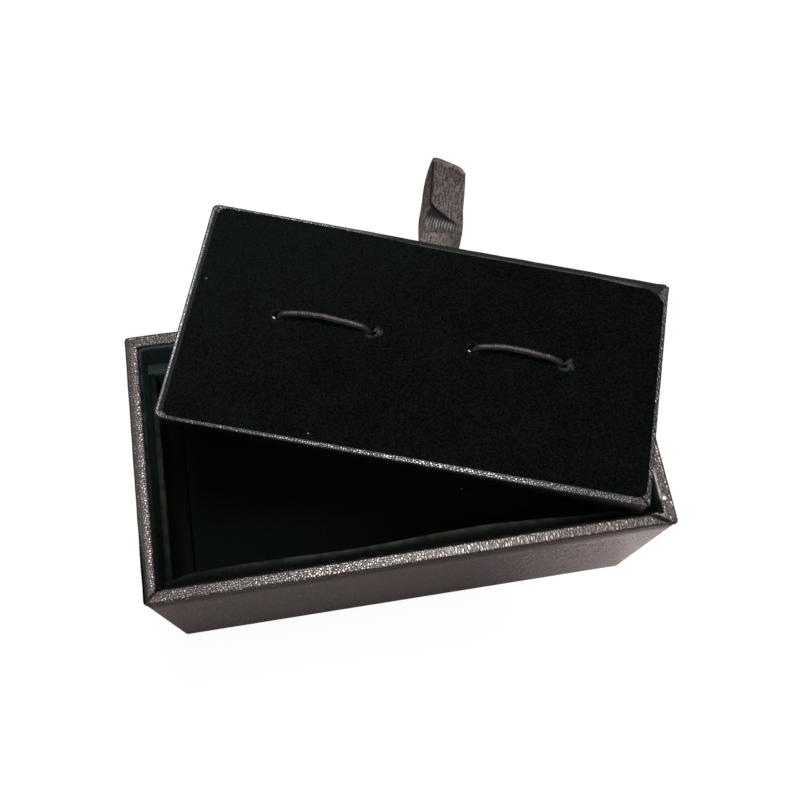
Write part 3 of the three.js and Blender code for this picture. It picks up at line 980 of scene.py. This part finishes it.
def build_velvet_face():
    form = bmesh.new()
    middle = Vector(((face_low_x + face_high_x) / 2, (face_low_y + face_high_y) / 2, face_top))
    size = (face_high_x - face_low_x, face_high_y - face_low_y, 1, 1)
    place = Matrix.Translation(middle) @ Matrix.Diagonal(size)
    bmesh.ops.create_grid(form, x_segments=1, y_segments=1, size=0.5, matrix=place)
    fine = [step * hole_spacing for step in range(-11, 12)]
    columns = spaced(face_low_x, face_high_x, 0.9)
    columns = [c for c in columns if min(abs(c - hole.x) for hole in holes) > 1.9]
    columns += [hole.x + step for hole in holes for step in fine]
    rows = [r for r in spaced(face_low_y, face_high_y, 0.9) if not -0.8 < r < 3.4]
    rows += [-0.6 + step * hole_spacing for step in range(26)]
    slice_form(form, 0, columns)
    slice_form(form, 1, rows)
    for side_x, side_y, radius, slants in face_corners:
        corner_x = face_high_x if side_x > 0 else face_low_x
        corner_y = face_high_y if side_y > 0 else face_low_y
        centre = Vector((corner_x, corner_y, 0)) - Vector((side_x, side_y, 0)) * radius
        for slant in slants:
            angle = math.radians(slant)
            outward = Vector((side_x * math.cos(angle), side_y * math.sin(angle), 0))
            cut(form, centre + outward * radius, outward, clear_outer=True)
    edge = bmesh.ops.extrude_edge_only(form, edges=[e for e in form.edges if e.is_boundary])
    edge_verts = [v for v in edge["geom"] if isinstance(v, bmesh.types.BMVert)]
    bmesh.ops.translate(form, verts=edge_verts, vec=(0, 0, -face_thickness))
    bmesh.ops.recalc_face_normals(form, faces=form.faces[:])
    return form


def shape_velvet_face(form):
    """Sinks the pile at the holes, and marks the painted shade in them, the ruffled pile round them and a
    small white speck at the front left edge of the first hole of each loop.

    The sheet is also cut a little askew at its front and back edges.
    """
    marks = form.verts.layers.float_color.new("marks")
    for vert in form.verts:
        x, y = vert.co.x, vert.co.y
        vert.co.y += 0.35 * x / face_high_x * smooth_share(-y, 14, 18)
        back_edge = 0.4 * smooth_share(-x, 0, 25) - 0.3 * smooth_share(x, -12, 0)
        back_edge -= 0.4 * smooth_share(x, 25, 35)
        vert.co.y += back_edge * smooth_share(y, 15, 18)
        if vert.co.z < face_top - 0.05:
            continue
        lift = noise.noise(Vector((x, y, 0)) / 5) * 0.05 + noise.noise(Vector((x, y, 7)) / 1.2) * 0.03
        hole_shade, ruffled, white_speck = 0, 0, 0
        for number, hole in enumerate(holes):
            arm = Vector((x, y)) - hole
            reach = arm.length
            if reach > 4:
                continue
            lift -= 0.95 * math.exp(-(reach / 0.6) ** 2)
            lip = math.exp(-((reach - 1.0) / 0.28) ** 2)
            lift += 0.12 * lip * (1 + 0.8 * noise.noise(Vector((x, y, 3.0)) * 1.7))
            # Painted shade in the hole.
            hole_shade += math.exp(-(reach / 0.6) ** 4)
            if number % 2 == 0:
                # A small white speck at the hole's front left edge.
                white_speck += math.exp(-((arm.x + 0.45) / 0.3) ** 2 - ((arm.y + 0.4) / 0.2) ** 2)
                ruffled += 0.12 * lip
            else:
                ruffled += 0.75 * lip * smooth_share(arm.x * 0.5 - arm.y * 0.7, -0.3, 0.8)
        lift += 0.15 * min(1, white_speck)
        vert[marks] = (min(1, hole_shade), min(1, ruffled), min(1, white_speck), 1)
        vert.co.z += lift


form = build_velvet_face()
shape_velvet_face(form)
face_look = velvet(
    "face_velvet", dark=(0.0007, 0.0010, 0.0009, 1), light=(0.0040, 0.0055, 0.0050, 1), marked=True,
)
add_piece("insert_velvet_sheet", form, "insert", face_look, ["insert_velvet_face"], insert_place)


# Elastic loops: round braided elastic, about a millimetre thick, over rubber. Each comes up
# through one hole, lies over the velvet in a low arch, dives into the next and is knotted below;
# the yarns of its cover have frayed out of the right-hand hole.
cord_radius = 0.55
cord_steps = 110
cord_inset = Vector((0.45, 0))
knot_row, knot_height = 1.1, 1.4
knot_size = (1.3, 1.3, 0.6, 1)
yarn_radius = 0.05
yarns_per_hole = 26


def braided_elastic():
    material, tree = new_material("braided_elastic")
    wrap = tree.node("ShaderNodeUVMap", {"uv_map": "braid"})
    along = along_axis(tree, wrap, 1)
    around = along_axis(tree, wrap, 0)
    one_way = tree.math("SINE", (around * 4 + along * 1.1) * (2 * math.pi))
    other_way = tree.math("SINE", (around * 4 - along * 1.1) * (2 * math.pi))
    braid = one_way * other_way * 0.5 + 0.5
    fuzz = noise_at(tree, coordinates(tree), 5, 3, 0.6)
    shade = (braid * 0.25 + fuzz * 0.95).ramp(0.3, 0.9)
    colour = shade.mix((0.003, 0.0022, 0.0018, 1), (0.024, 0.020, 0.016, 1))
    colour = painted(tree, "loose").mix(colour, (0.022, 0.019, 0.019, 1))
    finish_material(tree, colour, 0.44, braid * 0.45 + fuzz * 0.8, 0.11, 0.8)
    return material


def sweep(form, points, radius, sides, looseness):
    """Draws a ring along smooth points, and keeps how far along and round each corner lies."""
    braid = form.loops.layers.uv["braid"]
    loose = form.verts.layers.float["loose"]
    ring = bmesh.ops.create_circle(form, cap_ends=True, segments=sides, radius=radius)["verts"]
    direction = (points[1] - points[0]).normalized()
    start = Matrix.Translation(points[0]) @ direction.to_track_quat("Z", "Y").to_matrix().to_4x4()
    bmesh.ops.transform(form, matrix=start, verts=ring)
    edges = list({e for v in ring for e in v.link_edges})
    first_face = ring[0].link_faces[0]
    place_of = {v: (0.0, v.co - points[0]) for v in ring}
    travelled = 0.0
    for i in range(1, len(points)):
        ahead = (points[min(i + 1, len(points) - 1)] - points[i - 1]).normalized()
        turn = direction.rotation_difference(ahead).to_matrix().to_4x4()
        step = Matrix.Translation(points[i]) @ turn @ Matrix.Translation(-points[i - 1])
        grown = bmesh.ops.extrude_edge_only(form, edges=edges)["geom"]
        verts = [g for g in grown if isinstance(g, bmesh.types.BMVert)]
        edges = [g for g in grown if isinstance(g, bmesh.types.BMEdge)]
        edges = [e for e in edges if all(v in verts for v in e.verts)]
        bmesh.ops.transform(form, matrix=step, verts=verts)
        travelled += (points[i] - points[i - 1]).length
        place_of.update({v: (travelled, v.co - points[i]) for v in verts})
        direction = ahead
    bmesh.ops.edgeloop_fill(form, edges=edges)
    for face in {f for v in place_of for f in v.link_faces} - {first_face}:
        if len(face.verts) != 4:
            continue
        angles = [math.atan2(place_of[v][1].y, place_of[v][1].z) / (2 * math.pi) for v in face.verts]
        for loop, angle in zip(face.loops, angles):
            if max(angles) - min(angles) > 0.5 and angle < 0:
                angle += 1
            loop[braid].uv = (angle, place_of[loop.vert][0])
    for vert in place_of:
        vert[loose] = looseness


def cord_points(start, end, start_knot, end_knot):
    """The line of one loop: up out of a hole, over in a low arch, and slantwise down into the next."""
    sunk = face_top - 0.75
    points = []
    for step in range(12):
        share = step / 12
        along = Vector((start_knot, knot_row)).lerp(start, smooth_share(share, 0, 1))
        points.append(Vector((along.x, along.y, knot_height + (sunk - knot_height) * share)))
    for i in range(cord_steps + 1):
        share = i / cord_steps
        along = start.lerp(end, share)
        span = (end - start).length
        rise = math.sqrt(max(0, 1 - (1 - min(1, share * span / 0.8)) ** 2))
        dive = math.sqrt(max(0, 1 - (1 - min(1, (1 - share) * span / 2.3)) ** 2))
        arch = math.sin(math.pi * share)
        height = sunk + (1.35 + 0.5 * arch) * rise * dive
        stray = (0.6 * arch ** 0.7 + 0.12 * math.sin(math.pi * 2 * share)) * rise * dive
        points.append(Vector((along.x, along.y + stray, height)))
    for step in range(1, 13):
        share = step / 12
        along = end.lerp(Vector((end_knot, knot_row)), smooth_share(share, 0, 1))
        points.append(Vector((along.x, along.y, sunk + (knot_height - sunk) * share)))
    kept = [points[0]]
    for point in points[1:]:
        if (point - kept[-1]).length > 0.08:
            kept.append(point)
    return kept


def frayed_yarns(hole, spread, seed):
    """Fine yarns that curl out of a hole, as lists of points."""
    chance = random.Random(seed)
    yarns = []
    for _ in range(yarns_per_hole):
        angle = math.radians(chance.uniform(*spread))
        length = chance.uniform(0.7, 1.9)
        curl = chance.uniform(-0.5, 0.5)
        height = chance.uniform(0.1, 0.5)
        points = []
        for i in range(9):
            share = i / 8
            turned = angle + curl * share
            flat = hole + Vector((math.cos(turned), math.sin(turned))) * length * share
            rise = face_top - 0.3 + share * 0.35 + height * math.sin(math.pi * share)
            points.append(Vector((flat.x, flat.y, rise)))
        yarns.append(points)
    return yarns


elastic_look = braided_elastic()
# For each loop: its two holes, where its knots lie, which way its yarns fray, and its chance.
loops = {
    "left": (holes[0], holes[1], -24.3, -8.1, (-8, 32), 5),
    "right": (holes[2], holes[3], 8.1, 24.3, (-25, 70), 8),
}
for side, (start, end, start_knot, end_knot, spread, seed) in loops.items():
    form = bmesh.new()
    form.loops.layers.uv.new("braid")
    form.verts.layers.float.new("loose")
    line = cord_points(start + cord_inset, end - cord_inset, start_knot, end_knot)
    sweep(form, line, cord_radius, 20, 0.0)
    roughen(form, 0.09, 0.9, seed)
    for points in frayed_yarns(end, spread, seed):
        sweep(form, points, yarn_radius, 5, 1.0)
    for knot in (start_knot, end_knot):
        flat = Matrix.Translation((knot, knot_row, knot_height)) @ Matrix.Diagonal(knot_size)
        bmesh.ops.create_uvsphere(form, u_segments=16, v_segments=10, radius=1, matrix=flat)
    bmesh.ops.recalc_face_normals(form, faces=form.faces[:])
    add_piece(
        f"elastic_cord_{side}", form, "insert", elastic_look, [f"elastic_loop_{side}"],
        insert_place,
    )


# Pull tab: one satin ribbon, 7 mm wide, doubled. Its tail is glued between the boards and its
# loop comes out through the slit, bends up with a slanting crease near its root, and twists.
ribbon_width = 7.0
ribbon_length = 15.6
ribbon_thickness = 0.22
ribbon_root = Vector((-0.2, 20.15, 1.8))
ribbon_lean, ribbon_bend, ribbon_roll = 34.6, 52.3, 33
ribbon_drift = -0.043
rib_spacing = 0.52
tail_start = 8.2
leaf_up = ribbon_length - 1.0
fold_length = 1.4
ribbon_across_steps = 32
ribbon_along_steps = 260


def satin_ribbon():
    material, tree = new_material("satin_ribbon")
    wrap = tree.node("ShaderNodeUVMap", {"uv_map": "weave"})
    across = along_axis(tree, wrap, 0)
    drawn = tree.node("ShaderNodeMapping", values={"Vector": wrap, "Scale": (2.6, 0.8, 1)})
    yarns = tree.node(
        "ShaderNodeTexNoise", values={"Vector": drawn, "Scale": 1.0, "Detail": 3.0, "Roughness": 0.65},
    )
    flecks = tree.node("ShaderNodeTexNoise", values={"Vector": wrap, "Scale": 3.2, "Detail": 2.0})
    shaded, gathered_and_lit, edge = painted_channels(tree, "marks")
    ribs = tree.math("SINE", (across + yarns * 0.55) * (2 * math.pi / rib_spacing)) * 0.5 + 0.5
    weave = yarns * 0.55 + flecks * 0.45
    colour = weave.ramp(0.40, 0.60).mix((0.034, 0.026, 0.023, 1), (0.165, 0.136, 0.120, 1))
    # The gathered band's ribs are real; their light and dark stripes are partly a painted highlight.
    banded = ribs.ramp(0.15, 0.85).mix((0.030, 0.028, 0.032, 1), (0.145, 0.138, 0.140, 1))
    colour = gathered_and_lit.mix(colour, banded)
    # Painted shade under the crease.
    colour = shaded.mix(colour, (0.0065, 0.0050, 0.0090, 1))
    # Painted shade along the front leaf's left edge and top, at its root, in the groove and on the back
    # leaf.
    colour = edge.mix(colour, (0.014, 0.011, 0.010, 1))
    height = weave + ribs * gathered_and_lit * 1.5
    finish_material(tree, colour, 0.6, height, 0.09, 0.8, Specular_IOR_Level=0.15)
    return material


def ribbon_direction(share):
    """Which way the ribbon runs at a share of its length: it bends up from leaning out."""
    lean = math.radians(ribbon_lean + ribbon_bend * (share - 0.5))
    return Vector((ribbon_drift, math.cos(lean), math.sin(lean)))


def ribbon_frame(distance):
    """The middle, direction, across and facing of the loop at a distance from its root."""
    share = distance / ribbon_length
    steps = 24
    place = ribbon_root.copy()
    for i in range(steps):
        place += ribbon_direction((i + 0.5) / steps * share) * (distance / steps)
    direction = ribbon_direction(share).normalized()
    side = Vector((1, 0, 0))
    side = (side - direction * side.dot(direction)).normalized()
    facing = side.cross(direction)
    roll = math.radians(ribbon_roll) * smooth_share(distance, 0, 8)
    across = math.cos(roll) * side + math.sin(roll) * facing
    return place, direction, across, across.cross(direction)


def crease_height(across):
    """How high the slanting crease lies on the front leaf, at a place across the ribbon."""
    return 4.6 + (2.6 - across) * 0.557


def ribbon_point(across, distance):
    """Where a point of the ribbon lies: up the front leaf, round the top fold and down the back."""
    half_gap = 0.14
    if distance <= 0:
        return Vector((ribbon_root.x + across, ribbon_root.y + distance, ribbon_root.z + half_gap))
    if distance > 2 * leaf_up + fold_length:
        past = distance - 2 * leaf_up - fold_length
        return Vector((ribbon_root.x + across, ribbon_root.y - past, ribbon_root.z - half_gap))
    if leaf_up < distance < leaf_up + fold_length:
        angle = (distance - leaf_up) / fold_length * math.pi
        height = leaf_up + 0.35 * math.sin(angle)
        offset = math.cos(angle)
    elif distance <= leaf_up:
        height, offset = distance, 1
    else:
        height, offset = 2 * leaf_up + fold_length - distance, -1
    top_share = smooth_share(height, 13.2, leaf_up)
    right_corner = 0.8 * max(0, (across - 1.8) / 1.7) ** 2.4
    left_corner = 0.3 * max(0, (-across - 2.2) / 1.3) ** 2
    height -= (right_corner + left_corner) * top_share
    place, direction, side, facing = ribbon_frame(height)
    share = min(1, height / ribbon_length)
    open_gap = half_gap + 0.3 * smooth_share(height, 1.5, leaf_up) + 0.1 * math.sin(math.pi * share)
    point = place + side * across + facing * offset * open_gap
    if offset < 0:
        point += side * 1.5 * math.sin(math.pi * share ** 1.3) * offset
    else:
        point += side * 0.5 * math.sin(math.pi * share) * offset
        below = crease_height(across) - height
        if below > 0:
            depth = smooth_share(below, 0, 0.35) * (1 - smooth_share(below, 0.8, 2.2))
            point -= facing * 0.5 * depth * smooth_share(3.4 - across, 0, 2)
        band = math.exp(-((height - 4.1) / 0.6) ** 2) * smooth_share(3.3 - across, 0, 1.5)
        groove = math.exp(-((height - 2.95) / 0.28) ** 2)
        point += facing * (0.25 * band - 0.22 * groove)
    curl = 0.18 * (across / 3.5) ** 2
    return point - facing * curl * (1 if offset > 0 else -1)


def ribbon_marks(across, distance):
    """How far a point is in the crease's painted shade, in the gathered band below it, whose ribs are
    painted light and dark as a partly painted highlight, and in painted shade at the edges, the groove
    and the back leaf.
    """
    if not 0 < distance < leaf_up:
        return (0, 0, 0.6 * smooth_share(distance, leaf_up + 0.5, leaf_up + 1.5), 1)
    below = crease_height(across) - distance
    band_top = 5.7 - (across + 3.5) / 7 * 1.2
    band_low = 3.5 - (across + 3.5) / 7 * 0.4
    shaded = smooth_share(below, 0, 0.2) * smooth_share(distance, band_top - 0.9, band_top + 0.2)
    gathered_and_lit = smooth_share(distance, band_low - 0.2, band_low + 0.3)
    gathered_and_lit *= 1 - smooth_share(distance, band_top - 0.3, band_top + 0.5)
    gathered_and_lit *= smooth_share(3.2 - across, 0, 1) * smooth_share(across + 3.2, 0, 1)
    groove = 0.6 * math.exp(-((distance - 2.95) / 0.25) ** 2)
    # Painted shade at the front leaf's left edge, in the groove, near the top, at the root and on the back
    # leaf.
    edge = smooth_share(-across, 2.7, 3.3) * smooth_share(distance, 5.5, 7) + groove
    edge += 0.35 * smooth_share(distance, 12.0, 13.8) * smooth_share(across, -2, 2)
    edge += (0.15 + 0.45 * smooth_share(across, -0.5, 2.5)) * (1 - smooth_share(distance, 2.4, 2.9))
    return (shaded, gathered_and_lit, min(1, edge), 1)


def build_ribbon():
    tail = ribbon_root.y - tail_start
    total = 2 * leaf_up + fold_length + 2 * tail
    form = bmesh.new()
    bmesh.ops.create_grid(
        form, x_segments=ribbon_across_steps, y_segments=ribbon_along_steps, size=0.5,
        matrix=Matrix.Diagonal((ribbon_width, total, 1, 1)),
    )
    layer = form.loops.layers.uv.new("weave")
    for face in form.faces:
        for loop in face.loops:
            loop[layer].uv = (loop.vert.co.x, loop.vert.co.y + total / 2)
    marks = form.verts.layers.float_color.new("marks")
    for vert in form.verts:
        across, distance = vert.co.x, vert.co.y + total / 2 - tail
        vert[marks] = ribbon_marks(across, distance)
        vert.co = ribbon_point(across, distance)
    return form


form = build_ribbon()
ribbon = add_piece(
    "pull_tab_ribbon", form, None, satin_ribbon(),
    ["pull_tab_ribbon_tail", "pull_tab_ribbon_loop"], insert_place,
)
thicken(ribbon, ribbon_thickness, offset=0)
# It bends over the first millimetre and a half that lies outside the insert's edge.
bend_start = insert_place @ Vector((0, 20.35, 1.8)) * mm
bend_end = insert_place @ Vector((0, 21.9, 2.1)) * mm
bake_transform(ribbon, "insert", "pull_tab", start=tuple(bend_start), end=tuple(bend_end))
